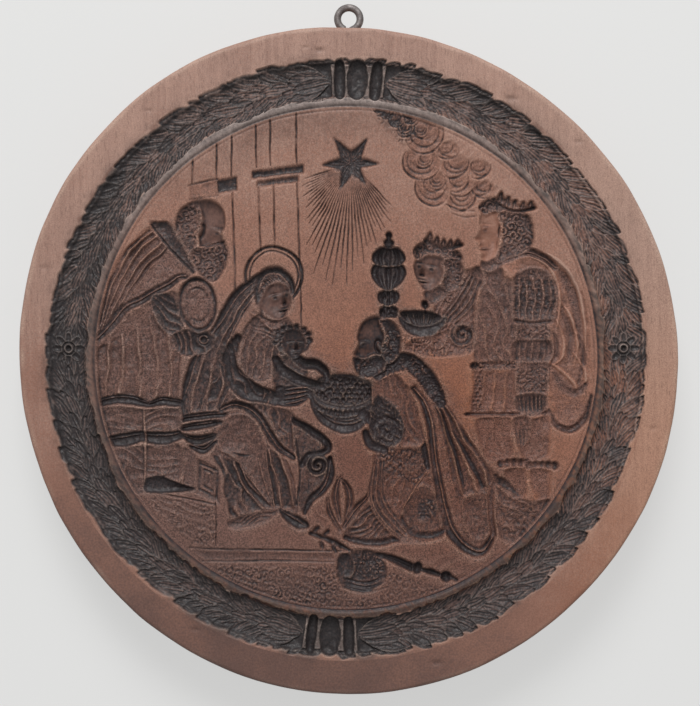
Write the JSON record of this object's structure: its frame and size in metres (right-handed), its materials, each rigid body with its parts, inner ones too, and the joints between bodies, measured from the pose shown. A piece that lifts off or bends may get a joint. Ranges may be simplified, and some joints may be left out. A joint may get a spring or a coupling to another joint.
{
  "type": "springerle mould",
  "caption": "Round wooden springerle mould, its face hollow-carved with a leaf wreath and a figure scene for printing dough, with a screw eye in the top edge to hang it by.",
  "frame": {"origin": "centre of the flat back of the board", "axes": "+Z out of the carved face, +Y to the top of the picture where the screw eye is, +X to the right of the picture"},
  "size_m": [0.24, 0.2513, 0.026],
  "materials": {
    "carved_wood": "old waxed pear wood, dark in the hollows and worn pale on the edges",
    "dull_steel": "dull grey wire"
  },
  "bodies": {
    "board": {"mould_board": "carved_wood"},
    "eye": {"screw_eye": "dull_steel"}
  },
  "joints": [
    {"name": "eye_turn", "type": "hinge", "parent": "board", "child": "eye", "pos_m": [0.001, 0.12, 0.013], "axis": [0, 1, 0], "range_deg": [0, 90]}
  ]
}
